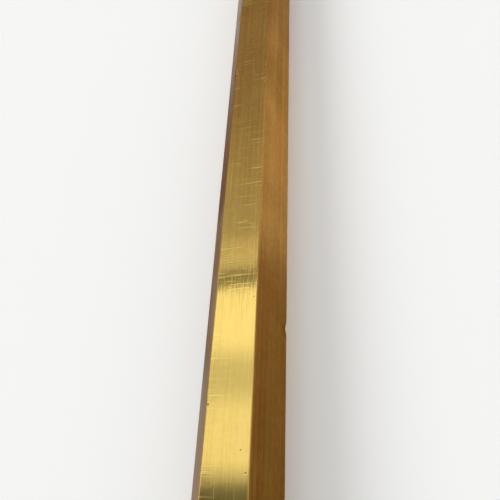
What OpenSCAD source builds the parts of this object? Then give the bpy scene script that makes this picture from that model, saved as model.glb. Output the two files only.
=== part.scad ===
// Hexagon brass rod: one piece of drawn stock, sawn square to a stock length.
// It lies on one of its flats along the Y axis. The origin is on the floor, under the middle of the rod.

/* [Section] */
// Width across the flats, the size that the rod is sold by
across_flats = 17; // [8:0.5:40]
// Radius that the drawing die leaves along the six long corners
corner_radius = 0.5; // [0.2:0.1:1]

/* [Length] */
// Length between the sawn ends
rod_length = 1000; // [300:50:3000]
// Width of the 45 degree broken edge round each sawn end
end_break = 0.4; // [0.2:0.1:1]

/* [Hidden] */
FLATS = 6;
ARC_FN = 96;
// Distance from the axis to the middle of a flat
apothem = across_flats / 2;
// Each corner's arc stands this far proud of its two flats, so that it meets them in a clean edge
ARC_PROUD = 0.001;
// Distance from the axis to the centre of each corner's arc
arc_centre = (apothem - corner_radius) / cos(180 / FLATS);
// Half of the flat stretch between two corner arcs
half_flat = arc_centre * sin(180 / FLATS);
// Length of the tool that cuts one broken edge, past both corners of its flat
cutter_length = across_flats;
brass = [0.80, 0.62, 0.27];

// Turns its children to face each flat in turn. The first flat faces up.
module at_each_flat() {
    for (i = [0 : FLATS - 1])
        rotate([0, 0, 90 + i * 360 / FLATS])
            children();
}

// The rod's cross section: twelve points where the flats end, and an arc round each corner.
module hexagon_section() {
    polygon([
        for (i = [0 : FLATS - 1], side = [-1, 1])
            let (turn = i * 360 / FLATS)
            [apothem * cos(turn + 90) - side * half_flat * sin(turn + 90),
             apothem * sin(turn + 90) + side * half_flat * cos(turn + 90)]
    ]);
    for (i = [0 : FLATS - 1])
        rotate([0, 0, i * 360 / FLATS])
            translate([arc_centre, 0])
                circle(r = corner_radius + ARC_PROUD, $fn = ARC_FN);
}

// What a file takes off one flat at the +Z end of an upright rod.
module broken_edge() {
    translate([apothem - end_break / 2, 0, rod_length / 2 - end_break / 2])
        rotate([0, -45, 0])
            translate([0, -cutter_length / 2, -2 * end_break])
                cube([2 * end_break, cutter_length, 4 * end_break]);
}

// The rod, extruded upright and then laid down on a flat.
module rod() {
    color(brass)
        translate([0, 0, apothem])
            rotate([90, 0, 0])
                difference() {
                    linear_extrude(height = rod_length, center = true)
                        hexagon_section();
                    at_each_flat() broken_edge();
                    mirror([0, 0, 1])
                        at_each_flat() broken_edge();
                }
}

rod();
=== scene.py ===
import math

import bpy
import numpy as np
from mathutils import Matrix, Vector


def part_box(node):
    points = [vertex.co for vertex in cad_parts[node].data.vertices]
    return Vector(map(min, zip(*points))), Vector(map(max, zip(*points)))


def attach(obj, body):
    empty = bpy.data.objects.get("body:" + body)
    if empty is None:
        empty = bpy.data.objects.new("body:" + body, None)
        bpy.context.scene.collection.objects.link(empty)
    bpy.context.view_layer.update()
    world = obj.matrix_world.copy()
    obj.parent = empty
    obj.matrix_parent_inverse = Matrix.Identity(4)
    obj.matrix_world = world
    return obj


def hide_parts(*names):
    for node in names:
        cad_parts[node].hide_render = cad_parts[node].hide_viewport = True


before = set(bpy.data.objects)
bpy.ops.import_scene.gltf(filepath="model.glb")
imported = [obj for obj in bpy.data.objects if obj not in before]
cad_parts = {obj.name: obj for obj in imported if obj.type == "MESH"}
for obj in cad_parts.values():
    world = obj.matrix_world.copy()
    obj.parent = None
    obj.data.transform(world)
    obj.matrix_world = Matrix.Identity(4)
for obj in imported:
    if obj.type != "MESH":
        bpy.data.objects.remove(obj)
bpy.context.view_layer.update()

# Lengths in this file are in metres, unless a comment says otherwise. This is one millimetre.
MM = 0.001

# The rod as the CAD has it: it lies on a flat along Y, with its middle over the origin.
ROD_LOW, ROD_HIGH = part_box("rod")
ROD_LENGTH = ROD_HIGH.y - ROD_LOW.y
APOTHEM = (ROD_HIGH.z - ROD_LOW.z) / 2
AXIS_HEIGHT = (ROD_HIGH.z + ROD_LOW.z) / 2
FLATS = 6
# Half of the turn from one flat to the next, 30 degrees.
HALF_CORNER = math.pi / FLATS
# A sharp hexagon would reach APOTHEM / cos(30) to each side. The rounded corners take off the rest.
CORNER_RADIUS = (APOTHEM / math.cos(HALF_CORNER) - ROD_HIGH.x) / (1 / math.cos(HALF_CORNER) - 1)
END_BREAK = 0.4 * MM

# The grid of the skin: its columns on each flat and round each corner, and the even gap between its rings.
FLAT_POINTS = 14
ARC_STEPS = 5
STATION_GAP = 5 * MM
# Each nick has close rings of its own, out to a few of its half-widths. Rings closer to the one before them
# than LEAST_GAP are left out.
NICK_RINGS = 10
NICK_REACH = 2.6
LEAST_GAP = 0.02 * MM
# Three rings go over each broken edge: one a crease's width in from each of its borders, and one on the
# border of the sawn face. The others are the sawn face's outline at these shares of its size.
CREASE = 0.05 * MM
FACE_SHARES = (0.985, 0.8, 0.6, 0.4, 0.2)
END_RINGS = 3 + len(FACE_SHARES)

# The map for the bake, from 0 to 1: how tall each half of the skin stands on it, the gap at its edges,
# the middle of the first end above it, and the size of the ends, as a share of the map for each metre. The
# other half and its end lie BAKED_HALF further on.
BAKED_SKIN = 0.88
BAKED_GAP = 0.01
BAKED_END_MIDDLE = (0.25, 0.95)
BAKED_END_SIZE = 5.5
BAKED_HALF = 0.5

# All random draws come from this seed.
SEED = 29

# What the drawing left of the true shape: a bow, a twist, a hollow across each flat and slow waves along it.
# At the flat's edges a wave runs up to WAVE_LEAN radians early or late. It fades out towards them, and
# WAVE_FADE says how fast.
BOW = 0.10 * MM
TWIST = math.radians(0.4)
FLAT_HOLLOW = 0.010 * MM
FLAT_WAVE = 0.012 * MM
WAVE_LENGTHS = (23 * MM, 61 * MM, 149 * MM)
WAVE_LEAN = 0.8
WAVE_FADE = 1.6

# What the handling left: nicks on the flats and corners. Half-widths go along the rod and half-lengths across
# it, both in millimetres, and depths are shares of the half-width. A nick on a corner has the least
# half-length and a depth of its own. Places along the rod are shares of its length.
NICKS = 66
NICKS_ON_CORNERS = 0.4
NICK_HALF_WIDTHS = (0.15, 1.0)
NICK_HALF_LENGTHS = (0.7, 2.0)
NICK_DEPTHS = (0.05, 0.22)
CORNER_NICK_DEPTH = 0.35
NICK_MIDDLE = 0.01
NICK_SPREAD = 0.16
NICK_LIMIT = 0.48
NICK_SLANT = 0.15

# The brown film that air and handling left, from 0, bright, to 1, with painted shade in it. For each flat:
# its own share, the start of its waves and the edge of its stain, both as millimetres along Y, and the
# stain's step. The film is thicker by the step before that edge and thinner by it past the edge, or the other
# way round with a minus. The high shares of the two upper flanks are partly painted shade, and on the top and
# upper right flats the waves and the step at -8 mm are partly painted shade too, lighter and darker stretches
# along Y.
FLAT_FILMS_AND_SHADE = {
    "bottom": (0.48, 30, 70, 0.07),
    "lower_right": (0.54, 90, -150, 0.07),
    "upper_right": (0.685, -140, -8, 0.08),
    "top": (0.19, 20, -8, -0.05),
    "upper_left": (0.74, -50, 10, -0.07),
    "lower_left": (0.46, 140, 190, 0.07),
}
FILM_AND_SHADE_SWELL = 0.08
FILM_AND_SHADE_WAVES = ((200 * MM, 1.0), (330 * MM, 0.6))
STAIN_AND_SHADE_SOFTNESS = 3 * MM

# The patterns of the brass: their spacing across and along the rod, in millimetres, and their detail. Real
# die lines and scratches are finer, about 0.1 mm apart. Here they are as coarse as they need to be to show.
# The patterns start PATTERN_APART in their noise, so that no two of them fall together.
PATTERNS = {
    "die_lines": (0.40, 900, 3.0),
    "scratching": (0.22, 34, 1.0),
    "streaks": (1.1, 260, 3.0),
    "tints": (2.4, 90, 1.0),
    "clouds": (9.0, 17, 3.0),
    "mottle": (1.0, 1.6, 2.0),
    "chatter": (11.0, 0.70, 1.0),
}
PATTERN_APART = (47, 5)
# What shows only where another layer is strong: that layer, and where in it this one starts and is whole.
# Bare is where the flat's own film, painted shade included, is thin.
MARKS = {
    "scratches": ("scratching", 0.68, 0.74),
    "cross_marks": ("chatter", 0.62, 0.80),
    "patches": ("clouds", 0.44, 0.60),
    "bare": ("film", 0.50, 0.35),
}
# What shows only where several layers do. The marks across the rod come in clusters, on bare flats.
PRODUCTS = {
    "blotches": ("mottle", "patches"),
    "clusters": ("cross_marks", "patches", "bare"),
}
# Round spots in one cell out of SPOT_CELLS, about a millimetre wide at most: the cell's width in millimetres,
# then as shares of it the largest radius, and how far in from its edge a spot would be whole.
SPOTS = {
    "specks": (6.0, 0.06, 0.08),
    "dents": (8.0, 0.07, 0.07),
}
SPOT_CELLS = 4
# What each layer adds to the film. Those that swing do so about a half, which is taken off beforehand.
SWINGS = {"streaks": 0.16, "die_lines": 0.13, "clouds": 0.18, "mottle": 0.10}
FILM_GAINS = {**SWINGS, "clusters": -0.35, "scratches": -0.09, "specks": 0.22}
# How far each layer rises, in millimetres.
RISES = {
    "die_lines": 0.011,
    "clusters": 0.003,
    "blotches": 0.003,
    "scratches": -0.006,
    "specks": -0.010,
    "dents": -0.035,
}
# The colours of the brass under more and more film, and the tints of its streaks: some are copper red, some
# greenish, and most have none.
FILM_COLOURS = ((0.0, "#F8D878"), (0.35, "#CA9850"), (0.65, "#8F6632"), (1.0, "#5C3B13"))
TINTS = ((0.34, "#FFF0E8"), (0.50, "#FFFFFF"), (0.66, "#F8FFEC"))
# What glances off the metal: the tint on bare brass, the tint on browned brass, and the films where it turns.
BARE_GLANCE = "#D6CBC3"
BROWN_GLANCE = "#AC8C66"
GLANCE_FILMS = (0.66, 0.86)
# How rough the metal is with no film and with all of it.
SKIN_ROUGHNESS = (0.07, 0.23)

# The sawn ends, in millimetres: where the middle of the saw's arcs lies, how far apart they are and how high
# they rise. The saw left the brass rough, with next to no film.
SAW_CENTRE = (-60, 90, 0)
SAW_SPACING = 0.25
SAW_DETAIL = 2.0
SAW_RISE = 0.05
SAWN_FILM = 0.08
SAWN_FILM_SWING = 0.12
SAWN_ROUGHNESS = 0.26

# The camera, as the photograph gives it. Pixels are those of its 500 by 500 frame, and SHOWN_WIDTH_PX is how
# wide the one rod is in the render.
FRAME_PX = 500
FOCAL_PX = 536
VANISHING_PX = (295, -594)
SIDE_ANGLE = math.radians(18)
SHOWN_WIDTH_PX = 72
SENSOR_MM = 36
NEAREST_SHOWN = 10 * MM

# The ceiling as the top flat mirrors it, from the far end: rows of the frame in pixels, and how bright the
# ceiling is there.
CEILING = (
    # The dim ceiling, and a paler stretch of it.
    (110, 0.41), (160, 0.49), (215, 0.48), (232, 0.51), (245, 0.74), (264, 0.72),
    # The dark frame of a wide panel.
    (272, 0.24), (285, 0.24),
    # The bright panel, with a dimmer bar across it.
    (288, 1.08), (342, 1.06), (364, 0.69), (386, 0.68), (412, 0.98), (462, 0.96),
    # The near side of the frame.
    (478, 0.58), (490, 0.16),
)
# The stretch that the ramp of the ceiling covers, as places on the ceiling.
RAMP_START = -1.0
RAMP_END = 3.0
# A place in the studio is how far a direction runs along Y, or to the side along X, for each metre that it
# climbs. These are the edges of the ceiling and of the soft boxes: the kind of place, where the edge is, and
# how far it blends to both sides. With a minus, what it bounds lies before the edge, and else past it.
CEILING_EDGES = (("side", -0.95, 0.15), ("side", 0.3, -0.5), ("run", -0.35, 0.2), ("run", 2.5, -0.5))
BOX_EDGES = (("far_side", 2.1, -0.2), ("far_run", 1.7, -0.2))
# The lowest climb that counts, so that a place stays finite towards the floor.
LEAST_CLIMB = 0.02
# A row of soft boxes hangs on each side of the ceiling, with gaps between the boxes.
BOX_LEVEL = 1.0
GAP_LEVEL = 0.40
BOX_APART = 0.8
GAP_WIDTH = 0.3
GAP_BLEND = 0.04
# Walls stand past the boxes. They light the room evenly. In metal they show pale at the foot and dim at the
# top, at these heights of a direction, and straight behind the rod they show as one pale background.
WALL_FOOT_LEVEL = 0.9
WALL_TOP_LEVEL = 0.42
WALL_HEIGHTS = (0.08, 0.34)
WALL_LIGHT = 0.68
WALL_SHOWN = 0.935

# The floor reaches this far each way, just below the rod. Its glow is what it shows beyond the light on it.
FLOOR_REACH = 20.0
FLOOR_HEIGHT = -0.1 * MM
FLOOR_GLOW = 0.10

# The key light: the place that it shines from, how wide it is and how strong.
KEY_PLACE = (-2.0, 0.4, 1.6)
KEY_ANGLE = math.radians(30)
KEY_STRENGTH = 1.3


def linear(hex_colour):
    """An sRGB hex colour as linear red, green, blue and alpha, by the sRGB curve."""
    channels = [int(hex_colour[i:i + 2], 16) / 255 for i in (1, 3, 5)]
    return [c / 12.92 if c <= 0.04045 else ((c + 0.055) / 1.055) ** 2.4 for c in channels] + [1.0]


def add_node(tree, kind, inputs=None, **settings):
    """Adds a node with its settings. Each input is linked where it is given a socket, and set where not.

    An input goes by its name, or by its number where several have the same name.
    """
    made = tree.nodes.new(kind)
    for name, value in settings.items():
        setattr(made, name, value)
    for name, value in (inputs or {}).items():
        if isinstance(value, bpy.types.NodeSocket):
            tree.links.new(value, made.inputs[name])
        else:
            made.inputs[name].default_value = value
    return made


def empty_tree(holder):
    """Gives a material or a world an empty node tree, and returns the tree."""
    holder.use_nodes = True
    holder.node_tree.nodes.clear()
    return holder.node_tree


def new_object(name, data):
    """An object in the scene for a mesh, a light or a camera."""
    made = bpy.data.objects.new(name, data)
    bpy.context.scene.collection.objects.link(made)
    return made


def hexagon_outline():
    """The section once round, from the start of the bottom flat, as points and outward normals in X and Z.

    Flat number k faces the angle a = 60 k - 90 degrees. Its points are APOTHEM times the normal, plus a run
    along the flat, and they lie closer near its edges. The arc after it turns from a to a + 60 about a
    centre that lies at a + 30.
    """
    facing = (2 * np.arange(FLATS)[:, None] - 3) * HALF_CORNER
    centre = (APOTHEM - CORNER_RADIUS) / math.cos(HALF_CORNER)
    half_flat = centre * math.sin(HALF_CORNER)
    even = np.linspace(-1, 1, FLAT_POINTS)[None, :]
    run = half_flat * (even + np.sin(even * math.pi / 2)) / 2
    flat = np.stack([APOTHEM * np.cos(facing) - run * np.sin(facing),
                     APOTHEM * np.sin(facing) + run * np.cos(facing)], -1)
    turn = facing + np.linspace(0, 2 * HALF_CORNER, ARC_STEPS + 1)[None, 1:-1]
    middle = facing + HALF_CORNER
    arc = np.stack([centre * np.cos(middle) + CORNER_RADIUS * np.cos(turn),
                    centre * np.sin(middle) + CORNER_RADIUS * np.sin(turn)], -1)
    points = np.concatenate([flat, arc], 1).reshape(-1, 2)
    angles = np.concatenate([facing + 0 * run, turn], 1).reshape(-1)
    return points, np.stack([np.cos(angles), np.sin(angles)], -1)


def nick_places(rng, perimeter):
    """Where the rod was knocked: places round and along it, half-lengths, half-widths, depths and slants.

    Half-widths are even on a logarithmic scale, so small nicks are more common than large ones.
    """
    half_width = np.exp(rng.uniform(*np.log(NICK_HALF_WIDTHS), NICKS)) * MM
    on_corner = rng.random(NICKS) < NICKS_ON_CORNERS
    corner = (rng.integers(0, FLATS, NICKS) + 1) * perimeter / FLATS - CORNER_RADIUS * HALF_CORNER
    return {
        "around": np.where(on_corner, corner, rng.uniform(0, perimeter, NICKS)),
        "along": np.clip(rng.normal(NICK_MIDDLE, NICK_SPREAD, NICKS), -NICK_LIMIT, NICK_LIMIT) * ROD_LENGTH,
        "half_length": np.where(on_corner, NICK_HALF_LENGTHS[0], rng.uniform(*NICK_HALF_LENGTHS, NICKS)) * MM,
        "half_width": half_width,
        "depth": half_width * np.where(on_corner, CORNER_NICK_DEPTH, rng.uniform(*NICK_DEPTHS, NICKS)),
        "slant": rng.normal(0, NICK_SLANT, NICKS),
    }


def stations(nicks):
    """Places along the rod, sorted: an even row, and over each nick a row that is closest at its middle.

    Out from a nick's middle, its places follow the square of an even count.
    """
    end = ROD_LENGTH / 2 - END_BREAK
    even = np.linspace(-end, end, round(2 * end / STATION_GAP) + 1)
    reach = np.linspace(-1, 1, NICK_RINGS)
    spread = NICK_REACH * nicks["half_width"][:, None] * reach * np.abs(reach)
    close = (nicks["along"][:, None] + spread).reshape(-1)
    places = np.sort(np.clip(np.concatenate([even, close]), -end, end))
    return places[np.concatenate([[True], np.diff(places) > LEAST_GAP])]


def relief(around, along, perimeter, nicks, rng):
    """How far the surface stands out from the true hexagon, for each place along and around.

    The sum of a hollow, waves and nicks. The hollow is a parabola across each flat. A wave is a sine along
    Y, which comes earlier or later across the flat. A nick is a groove with the section of a bell curve,
    exp(-(distance / half_width) ** 2), and fades in the same way over its half-length.
    """
    side = perimeter / FLATS
    flat_number = np.floor(around / side).astype(int) % FLATS
    across = (around / side) % 1.0 * 2 - 1
    hollow = -FLAT_HOLLOW * np.clip(1 - across ** 2, 0, 1)
    waves = np.zeros((len(along), len(around)))
    for wave_length in WAVE_LENGTHS:
        phase = rng.uniform(0, 2 * math.pi, FLATS)[flat_number]
        lean = rng.uniform(-WAVE_LEAN, WAVE_LEAN, FLATS)[flat_number] * across
        turn = 2 * math.pi * along[:, None] / wave_length + phase + lean
        waves += wave_length / WAVE_LENGTHS[-1] * np.sin(turn)
    edge = np.clip(WAVE_FADE * (1 - np.abs(across)), 0, 1)
    out = hollow + FLAT_WAVE * waves * edge
    for n in range(NICKS):
        off_round = (around - nicks["around"][n] + perimeter / 2) % perimeter - perimeter / 2
        off_along = along[:, None] - nicks["along"][n] - nicks["slant"][n] * off_round[None, :]
        over_width = np.exp(-(off_along / nicks["half_width"][n]) ** 2)
        over_length = np.exp(-(off_round / nicks["half_length"][n]) ** 2)
        out -= nicks["depth"][n] * (over_width * over_length)
    return out


def film_and_painted_shade(normals, along):
    """How brown each place is, with painted shade in it: the flat's own share, its two long waves and its
    stain's edge.

    The waves are sines and the edge is a hyperbolic tangent. On a corner, the films of its two flats blend
    with the turn of the normal.
    """
    share, start, stain_and_shade_edge, stain_and_shade_step = np.array(list(FLAT_FILMS_AND_SHADE.values())).T
    run = along[:, None] - start * MM
    swell = sum(height * np.sin(2 * math.pi * run / length) for length, height in FILM_AND_SHADE_WAVES)
    # On the top and upper right flats this step is partly painted shade.
    stain_and_shade = stain_and_shade_step * np.tanh((along[:, None] - stain_and_shade_edge * MM) / STAIN_AND_SHADE_SOFTNESS)
    on_flats = share + FILM_AND_SHADE_SWELL * swell - stain_and_shade
    flat = (np.arctan2(normals[:, 1], normals[:, 0]) / HALF_CORNER + 3) / 2
    rounding = 1e-6
    before = np.floor(flat + rounding).astype(int)
    past = flat - before
    return on_flats[:, before % FLATS] * (1 - past) + on_flats[:, (before + 1) % FLATS] * past


def end_rings(points, normals):
    """The rings over one end, from the skin inwards, as points and normals.

    A ring is the outline moved in by step_in and scaled by share. Its place along Y follows the broken edge,
    then stays in the sawn face. Its normals lean from the section towards Y.
    """
    step_in = np.array([CREASE, END_BREAK - CREASE] + [END_BREAK] * (END_RINGS - 2))[:, None, None]
    share = np.array([1, 1, 1, *FACE_SHARES])[:, None, None]
    lean = np.radians([45, 45] + [90] * (END_RINGS - 2))[:, None]
    inner = (points - normals * step_in) * share
    place = ROD_LENGTH / 2 - END_BREAK + step_in[..., 0] + 0 * lean
    rings = np.stack([inner[..., 0], place + 0 * inner[..., 0], inner[..., 1]], -1)
    leaning = np.stack([normals[:, 0] * np.cos(lean), np.sin(lean) + 0 * normals[:, 0],
                        normals[:, 1] * np.cos(lean)], -1)
    return rings, leaning


def rod_rings():
    """The rings of the rod from its low end to its high end, as points and normals, and the way round.

    A point is the outline's point, moved out by the relief, turned about the axis by the twist and moved
    aside by the bow, a cosine. Its normal is the outline's, tilted by the slopes of the relief and turned
    too. The way round is how far along the outline each column lies, and last the outline's whole length.
    """
    rng = np.random.default_rng(SEED)
    points, normals = hexagon_outline()
    steps = np.linalg.norm(np.roll(points, -1, 0) - points, axis=1)
    around = np.concatenate([[0], np.cumsum(steps)])
    nicks = nick_places(rng, around[-1])
    along = stations(nicks)
    out = relief(around[:-1], along, around[-1], nicks, rng)
    slope_along = np.gradient(out, along, axis=0)
    slope_around = np.gradient(np.concatenate([out, out[:, :1]], 1), around, axis=1)[:, :-1]

    skin = points + normals * out[..., None]
    skin = np.stack([skin[..., 0], along[:, None] + 0 * out, skin[..., 1]], -1)
    tangents = np.stack([-normals[:, 1], normals[:, 0]], -1)
    tilted = normals - tangents * slope_around[..., None]
    skin_normals = np.stack([tilted[..., 0], -slope_along, tilted[..., 1]], -1)
    end, end_normals = end_rings(points, normals)
    mirrored = np.array([1, -1, 1])
    rings = np.concatenate([end[::-1] * mirrored, skin, end])
    ring_normals = np.concatenate([end_normals[::-1] * mirrored, skin_normals, end_normals])

    turn = TWIST * rings[..., 1] / ROD_LENGTH
    for array in (rings, ring_normals):
        x = array[..., 0].copy()
        z = array[..., 2].copy()
        array[..., 0] = x * np.cos(turn) + z * np.sin(turn)
        array[..., 2] = z * np.cos(turn) - x * np.sin(turn)
    rings[..., 0] += BOW * (np.cos(math.pi * rings[..., 1] / ROD_LENGTH) - 0.5)
    rings[..., 2] += AXIS_HEIGHT
    return rings, ring_normals, around


def rod_faces(ring_count, columns):
    """The faces as rows of vertex numbers: four corners between rings, then the fans that close the two ends.

    The last two vertices are the middles of the sawn faces, where the fans meet.
    """
    index = np.arange(ring_count * columns).reshape(ring_count, columns)
    right = np.roll(index, -1, 1)
    quads = np.stack([index[:-1], index[1:], right[1:], right[:-1]], -1).reshape(-1, 4)
    low_fan = np.stack([index[0], right[0], np.full(columns, index.size)], -1)
    high_fan = np.stack([right[-1], index[-1], np.full(columns, index.size + 1)], -1)
    return quads, low_fan, high_fan


def face_maps(vertices, faces, ring_count, around):
    """The two maps of the rod, at each corner of each face.

    The map of the patterns is in millimetres: the way round the section and the place along the rod, or X
    and Z on the ends. The map for the bake has the skin cut at the ring nearest to the rod's middle, with
    the two halves side by side and each end above its half.
    """
    quads, low_fan, _ = faces
    columns = len(low_fan)
    corners = np.concatenate([part.ravel() for part in faces])
    column = np.tile([0, 0, 1, 1], len(quads)) + np.repeat(np.tile(np.arange(columns), ring_count - 1), 4)
    column = np.concatenate([column, np.zeros(2 * low_fan.size, int)])
    # The ring that each corner's face starts at. The fans count with the faces beside them.
    last = ring_count - 2
    ring = np.repeat([*range(ring_count - 1), 0, last], [4 * columns] * (ring_count - 1) + [low_fan.size] * 2)
    on_end = (np.minimum(ring, last - ring) < END_RINGS - 1)[:, None]
    end_places = vertices[corners][:, [0, 2]] - [0, AXIS_HEIGHT]
    run_round = around[column]
    run_along = vertices[corners, 1]
    drawn_map = np.where(on_end, end_places, np.stack([run_round, run_along], -1)) / MM

    ring_places = vertices[:ring_count * columns:columns, 1]
    cut = np.abs(ring_places).argmin()
    from_cut = np.abs(run_along - ring_places[cut]) / (ROD_LENGTH / 2)
    half_wide = BAKED_HALF - 2 * BAKED_GAP
    skin_bake = BAKED_GAP + np.stack([half_wide * run_round / around[-1], BAKED_SKIN * from_cut], -1)
    end_bake = end_places * BAKED_END_SIZE + BAKED_END_MIDDLE
    in_far_half = (ring >= cut)[:, None]
    bake_map = np.where(on_end, end_bake, skin_bake) + in_far_half * [BAKED_HALF, 0.0]
    return {"drawn": drawn_map, "OFBake": bake_map}


def drawn_rod():
    """The whole rod as one closed skin: its rings joined by faces, with each sawn end closed on its middle.

    Each vertex also holds how thick its film is, painted shade on the upper flanks included, and whether it
    is on a sawn end.
    """
    rings, ring_normals, around = rod_rings()
    ring_count, columns = rings.shape[:2]
    middles = np.array([[0, -ROD_LENGTH / 2, AXIS_HEIGHT], [0, ROD_LENGTH / 2, AXIS_HEIGHT]])
    vertices = np.concatenate([rings.reshape(-1, 3), middles])
    vertex_normals = np.concatenate([ring_normals.reshape(-1, 3), [[0, -1, 0], [0, 1, 0]]])
    faces = rod_faces(ring_count, columns)
    mesh = bpy.data.meshes.new("drawn_rod")
    mesh.from_pydata(vertices, [], [face for part in faces for face in part.tolist()])
    mesh.polygons.foreach_set("use_smooth", np.ones(len(mesh.polygons), bool))
    mesh.normals_split_custom_set_from_vertices(vertex_normals)
    for name, places in face_maps(vertices, faces, ring_count, around).items():
        mesh.uv_layers.new(name=name).data.foreach_set("uv", places.astype(np.float32).ravel())

    _, normals = hexagon_outline()
    film = film_and_painted_shade(normals, rings[:, 0, 1])
    from_end = np.minimum(np.arange(ring_count), np.arange(ring_count)[::-1])
    # The film here holds painted shade as well as tarnish.
    shares = {
        "film": np.concatenate([film.ravel(), [0, 0]]),
        "sawn": np.concatenate([np.repeat(from_end < END_RINGS, columns), [True, True]]),
    }
    for name, values in shares.items():
        mesh.attributes.new(name, "FLOAT", "POINT").data.foreach_set("value", values.astype(np.float32))
    mesh.update()
    return new_object("drawn_rod", mesh)


def skin_layers(tree, uv, film):
    """The layers of the drawn skin, each from 0 to 1: the film, the patterns and the marks made from them."""
    layers = {"film": film}
    for number, (name, (across, along, detail)) in enumerate(PATTERNS.items()):
        place = add_node(tree, "ShaderNodeMapping", {
            "Vector": uv,
            "Location": (PATTERN_APART[0] * number, PATTERN_APART[1] * number, 0),
            "Scale": (1 / across, 1 / along, 1)}).outputs["Vector"]
        layers[name] = add_node(tree, "ShaderNodeTexNoise", {
            "Vector": place, "Scale": 1.0, "Detail": detail}, noise_dimensions="2D").outputs["Fac"]
    for name, (layer, start, whole) in MARKS.items():
        layers[name] = add_node(tree, "ShaderNodeMapRange", {
            "Value": layers[layer], "From Min": start, "From Max": whole}).outputs["Result"]
    for name, (first, *others) in PRODUCTS.items():
        layers[name] = layers[first]
        for other in others:
            layers[name] = add_node(tree, "ShaderNodeMath", {
                0: layers[name], 1: layers[other]}, operation="MULTIPLY").outputs[0]

    # A cell's chance runs from 0 to 1. One near 1 gives a spot, with the largest radius at 1.
    for name, (cell_width, radius, softness) in SPOTS.items():
        cell = add_node(tree, "ShaderNodeTexVoronoi", {
            "Vector": uv, "Scale": 1 / cell_width}, voronoi_dimensions="2D").outputs
        chance = add_node(tree, "ShaderNodeSeparateColor", {"Color": cell["Color"]}).outputs["Red"]
        spot = add_node(tree, "ShaderNodeMath", {
            0: chance, 1: SPOT_CELLS * radius, 2: (1 - SPOT_CELLS) * radius}, operation="MULTIPLY_ADD")
        inside = add_node(tree, "ShaderNodeMath", {
            0: spot.outputs[0], 1: cell["Distance"]}, operation="SUBTRACT").outputs[0]
        layers[name] = add_node(tree, "ShaderNodeMapRange", {
            "Value": inside, "From Min": 0.0, "From Max": softness},
            interpolation_type="SMOOTHSTEP").outputs["Result"]
    return layers


def sum_of_layers(tree, layers, gains, total):
    """The total with each of the layers added to it, times its gain."""
    for name, gain in gains.items():
        total = add_node(tree, "ShaderNodeMath", {
            0: layers[name], 1: gain, 2: total}, operation="MULTIPLY_ADD").outputs[0]
    return total


def sawn_faces(tree, uv):
    """The film and the height on the sawn ends: both follow fine arcs about a far centre."""
    arc = add_node(tree, "ShaderNodeVectorMath", {0: uv, 1: SAW_CENTRE}, operation="DISTANCE")
    kerf = add_node(tree, "ShaderNodeTexNoise", {
        "W": arc.outputs["Value"], "Scale": 1 / SAW_SPACING, "Detail": SAW_DETAIL},
        noise_dimensions="1D").outputs["Fac"]
    film = add_node(tree, "ShaderNodeMath", {
        0: kerf, 1: SAWN_FILM_SWING, 2: SAWN_FILM}, operation="MULTIPLY_ADD").outputs[0]
    return film, add_node(tree, "ShaderNodeMath", {0: kerf, 1: SAW_RISE}, operation="MULTIPLY").outputs[0]


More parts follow.
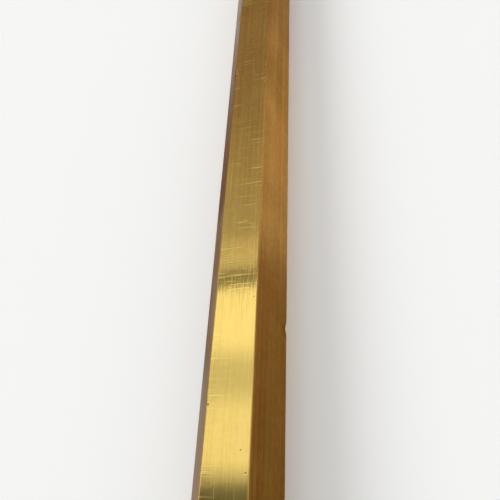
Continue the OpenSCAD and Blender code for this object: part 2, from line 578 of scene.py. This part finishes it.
def drawn_brass():
    """Free-cutting brass, drawn bright and browned by the air, with sawn ends.

    To the eye it is a yellow mirror with fine lines along it, which spread what it reflects to the sides. A
    brown film dulls it in streaks and clouds, and pale marks run across it in clusters. The film is deeper on
    the upper flanks partly as painted shade. The ends are fresh yellow brass, rough and with fine arcs from
    the saw.
    """
    material = bpy.data.materials.new("drawn_brass")
    tree = empty_tree(material)
    uv = add_node(tree, "ShaderNodeUVMap", uv_map="drawn").outputs["UV"]
    film = add_node(tree, "ShaderNodeAttribute", attribute_name="film").outputs["Fac"]
    sawn = add_node(tree, "ShaderNodeAttribute", attribute_name="sawn").outputs["Fac"]

    # How deep the film is, painted shade included, and how high the metal stands: layers on the skin, and
    # arcs on the sawn ends.
    layers = skin_layers(tree, uv, film)
    before_swings = add_node(tree, "ShaderNodeMath", {0: film, 1: -sum(SWINGS.values()) / 2}).outputs[0]
    skin_depth = sum_of_layers(tree, layers, FILM_GAINS, before_swings)
    skin_height = sum_of_layers(tree, layers, RISES, 0.0)
    sawn_depth, sawn_height = sawn_faces(tree, uv)
    depth = add_node(tree, "ShaderNodeMix", {"Factor": sawn, 2: skin_depth, 3: sawn_depth}).outputs[0]
    height = add_node(tree, "ShaderNodeMix", {"Factor": sawn, 2: skin_height, 3: sawn_height}).outputs[0]

    # The colour is the film's, tinted the more the deeper the film is.
    colours = {}
    for name, value, stops in (("film", depth, FILM_COLOURS), ("tint", layers["tints"], TINTS)):
        ramp = add_node(tree, "ShaderNodeValToRGB", {"Fac": value})
        elements = ramp.color_ramp.elements
        for place, colour in stops[1:-1]:
            elements.new(place).color = linear(colour)
        for end in (0, -1):
            elements[end].position = stops[end][0]
            elements[end].color = linear(stops[end][1])
        colours[name] = ramp.outputs["Color"]
    colour = add_node(tree, "ShaderNodeMix", {
        "Factor": depth, 6: colours["film"], 7: colours["tint"]},
        data_type="RGBA", blend_type="MULTIPLY").outputs[2]
    skin_rough = add_node(tree, "ShaderNodeMapRange", {
        "Value": depth, "To Min": SKIN_ROUGHNESS[0], "To Max": SKIN_ROUGHNESS[1]}).outputs["Result"]
    rough = add_node(tree, "ShaderNodeMix", {"Factor": sawn, 2: skin_rough, 3: SAWN_ROUGHNESS}).outputs[0]

    # Bare brass pales what glances off it, and the film browns it.
    browned = add_node(tree, "ShaderNodeMapRange", {
        "Value": depth, "From Min": GLANCE_FILMS[0], "From Max": GLANCE_FILMS[1]}).outputs["Result"]
    glancing = add_node(tree, "ShaderNodeMix", {
        "Factor": browned, 6: linear(BARE_GLANCE), 7: linear(BROWN_GLANCE)}, data_type="RGBA").outputs[2]
    bump = add_node(tree, "ShaderNodeBump", {"Height": height, "Distance": MM, "Strength": 1.0})
    tangent = add_node(tree, "ShaderNodeTangent", direction_type="UV_MAP", uv_map="drawn")
    shader = add_node(tree, "ShaderNodeBsdfPrincipled", {
        "Base Color": colour,
        "Metallic": 1.0,
        "Roughness": rough,
        "Anisotropic": 0.9,
        "Tangent": tangent.outputs["Tangent"],
        "Specular Tint": glancing,
        "Normal": bump.outputs["Normal"],
    })
    add_node(tree, "ShaderNodeOutputMaterial", {"Surface": shader.outputs["BSDF"]})
    return material


def shown(tree):
    """One for what the camera sees, straight or in metal or glass, and nought for what lights the room."""
    path = add_node(tree, "ShaderNodeLightPath").outputs
    seen = add_node(tree, "ShaderNodeMath", {
        0: path["Is Camera Ray"], 1: path["Is Glossy Ray"]}, operation="MAXIMUM").outputs[0]
    return add_node(tree, "ShaderNodeMath", {
        0: seen, 1: path["Is Transmission Ray"]}, operation="MAXIMUM").outputs[0]


def matt_paper():
    """White paper with no gloss: to the eye an even pale ground. Its glow only shows, and lights nothing."""
    material = bpy.data.materials.new("matt_paper")
    tree = empty_tree(material)
    glow = add_node(tree, "ShaderNodeMath", {0: shown(tree), 1: FLOOR_GLOW}, operation="MULTIPLY").outputs[0]
    shader = add_node(tree, "ShaderNodeBsdfPrincipled", {
        "Base Color": linear("#F4F4F2"),
        "Roughness": 0.9,
        "Specular IOR Level": 0.0,
        "Emission Color": linear("#FFFFFF"),
        "Emission Strength": glow,
    })
    add_node(tree, "ShaderNodeOutputMaterial", {"Surface": shader.outputs["BSDF"]})
    return material


def pale_floor():
    """A wide square floor just below the rod."""
    ways = ((-1, -1), (1, -1), (1, 1), (-1, 1))
    mesh = bpy.data.meshes.new("floor")
    mesh.from_pydata([(x * FLOOR_REACH, y * FLOOR_REACH, FLOOR_HEIGHT) for x, y in ways], [], [(0, 1, 2, 3)])
    mesh.materials.append(matt_paper())
    new_object("floor", mesh)


def mirrored_run(row):
    """How far the top flat's reflection at a row of the frame runs along Y, for each metre that it climbs.

    Steepness is how far the camera's ray at that row points down, in the plane of the rod and the camera,
    and what is mirrored climbs as steeply. That plane leans to the side by SIDE_ANGLE.
    """
    middle = FRAME_PX / 2
    off_middle = math.hypot(VANISHING_PX[0] - middle, VANISHING_PX[1] - middle)
    to_axis = math.atan2(off_middle, FOCAL_PX)
    steepness = to_axis + math.atan((row - middle) / FOCAL_PX)
    return 1 / (math.tan(steepness) * math.cos(SIDE_ANGLE))


def studio_places(tree):
    """How much a direction climbs, and its place in the studio: its run and side, and both without sign."""
    direction = add_node(tree, "ShaderNodeTexCoord").outputs["Generated"]
    axes = add_node(tree, "ShaderNodeSeparateXYZ", {0: direction}).outputs
    climb = add_node(tree, "ShaderNodeMath", {0: axes["Z"], 1: LEAST_CLIMB}, operation="MAXIMUM").outputs[0]
    places = {}
    for name, axis in (("run", "Y"), ("side", "X")):
        places[name] = add_node(tree, "ShaderNodeMath", {
            0: axes[axis], 1: climb}, operation="DIVIDE").outputs[0]
        places["far_" + name] = add_node(tree, "ShaderNodeMath", {
            0: places[name]}, operation="ABSOLUTE").outputs[0]
    return climb, places


def ceiling_level(tree, run):
    """How bright the ceiling is along Y, by a ramp with a stop for each row of CEILING."""
    share = add_node(tree, "ShaderNodeMapRange", {"Value": run, "From Min": RAMP_START, "From Max": RAMP_END})
    ramp = add_node(tree, "ShaderNodeValToRGB", {"Fac": share.outputs["Result"]})
    stops = ramp.color_ramp.elements
    for row, level in CEILING:
        place = (mirrored_run(row) - RAMP_START) / (RAMP_END - RAMP_START)
        stops.new(place).color = (level, level, level, 1)
    stops[0].color = stops[1].color
    stops[-1].color = stops[-2].color
    return ramp.outputs["Color"]


def wall_level(tree, climb):
    """How bright the walls are: even where they light the room, and in metal from foot level to top level."""
    in_metal = add_node(tree, "ShaderNodeMapRange", {
        "Value": climb, "From Min": WALL_HEIGHTS[0], "From Max": WALL_HEIGHTS[1],
        "To Min": WALL_FOOT_LEVEL, "To Max": WALL_TOP_LEVEL},
        interpolation_type="SMOOTHSTEP").outputs["Result"]
    return add_node(tree, "ShaderNodeMix", {"Factor": shown(tree), 2: WALL_LIGHT, 3: in_metal}).outputs[0]


def box_level(tree, run):
    """How bright a row of soft boxes is along Y: bright but for a gap at each whole number of BOX_APART."""
    from_gap = add_node(tree, "ShaderNodeMath", {0: run, 1: BOX_APART / 2}, operation="PINGPONG").outputs[0]
    return add_node(tree, "ShaderNodeMapRange", {
        "Value": from_gap, "From Min": GAP_WIDTH / 2 - GAP_BLEND, "From Max": GAP_WIDTH / 2 + GAP_BLEND,
        "To Min": GAP_LEVEL, "To Max": BOX_LEVEL}, interpolation_type="SMOOTHSTEP").outputs["Result"]


def studio_world():
    """The studio: a dim ceiling with a bright panel in it, and a row of soft boxes with gaps on each side.

    Past the boxes stand walls.
    """
    world = bpy.data.worlds.new("studio")
    bpy.context.scene.world = world
    tree = empty_tree(world)
    climb, places = studio_places(tree)

    # Which share of the light is the ceiling's and which the boxes', each the product of its soft edges.
    shares = {}
    for name, edges in (("ceiling", CEILING_EDGES), ("boxes", BOX_EDGES)):
        shares[name] = 1.0
        for place, edge, blend in edges:
            inside = add_node(tree, "ShaderNodeMapRange", {
                "Value": places[place], "From Min": edge - blend, "From Max": edge + blend},
                interpolation_type="SMOOTHSTEP").outputs["Result"]
            shares[name] = add_node(tree, "ShaderNodeMath", {
                0: inside, 1: shares[name]}, operation="MULTIPLY").outputs[0]

    around = add_node(tree, "ShaderNodeMix", {
        "Factor": shares["boxes"], 2: wall_level(tree, climb), 3: box_level(tree, places["run"])}).outputs[0]
    room = add_node(tree, "ShaderNodeMix", {
        "Factor": shares["ceiling"], 2: around, 3: ceiling_level(tree, places["run"])}).outputs[0]
    straight = add_node(tree, "ShaderNodeLightPath").outputs["Is Camera Ray"]
    light = add_node(tree, "ShaderNodeMix", {"Factor": straight, 2: room, 3: WALL_SHOWN}).outputs[0]
    background = add_node(tree, "ShaderNodeBackground", {"Color": linear("#FFFFFF"), "Strength": light})
    add_node(tree, "ShaderNodeOutputWorld", {"Surface": background.outputs["Background"]})


def key_light():
    """A wide soft light from the left, for the rod's shadow on the floor. The metal doesn't mirror it."""
    lamp = bpy.data.lights.new("key", "SUN")
    lamp.angle = KEY_ANGLE
    lamp.energy = KEY_STRENGTH
    key = new_object("key", lamp)
    key.location = KEY_PLACE
    key.rotation_euler = (-key.location).to_track_quat("-Z", "Y").to_euler()
    key.visible_camera = False
    key.visible_glossy = False


def camera():
    """The camera stands to the right of the rod by SIDE_ANGLE, and looks at its middle.

    Its turn takes three square directions as it sees them, the first towards VANISHING_PX, to the real ones,
    the first along the rod. So the rod's edges meet there. Its distance gives the rod SHOWN_WIDTH_PX.
    """
    middle = FRAME_PX / 2
    to_right = (VANISHING_PX[0] - middle) / FOCAL_PX
    upwards = (middle - VANISHING_PX[1]) / FOCAL_PX
    away = Vector((to_right, upwards, -1)).normalized()
    back = Vector((0, 0, 1))
    square = (back - away * away.dot(back)).normalized()
    seen = Matrix((away, square, away.cross(square))).transposed()
    rod_axis = Vector((0, 1, 0))
    towards = Vector((math.sin(SIDE_ANGLE), 0, math.cos(SIDE_ANGLE)))
    real = Matrix((rod_axis, towards, rod_axis.cross(towards))).transposed()
    turn = real @ seen.inverted()
    width = 2 * ROD_HIGH.x * math.cos(SIDE_ANGLE)
    distance = FOCAL_PX * width / SHOWN_WIDTH_PX
    lens = bpy.data.cameras.new("camera")
    lens.sensor_width = SENSOR_MM
    lens.lens = FOCAL_PX / FRAME_PX * SENSOR_MM
    lens.clip_start = NEAREST_SHOWN
    eye = new_object("camera", lens)
    target = Vector((0, 0, AXIS_HEIGHT))
    eye.matrix_world = Matrix.Translation(target + turn @ back * distance) @ turn.to_4x4()
    bpy.context.scene.camera = eye


rod = drawn_rod()
rod.data.materials.append(drawn_brass())
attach(rod, "root")
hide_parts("rod")

pale_floor()
studio_world()
key_light()
camera()
bpy.context.scene.view_settings.view_transform = "Standard"
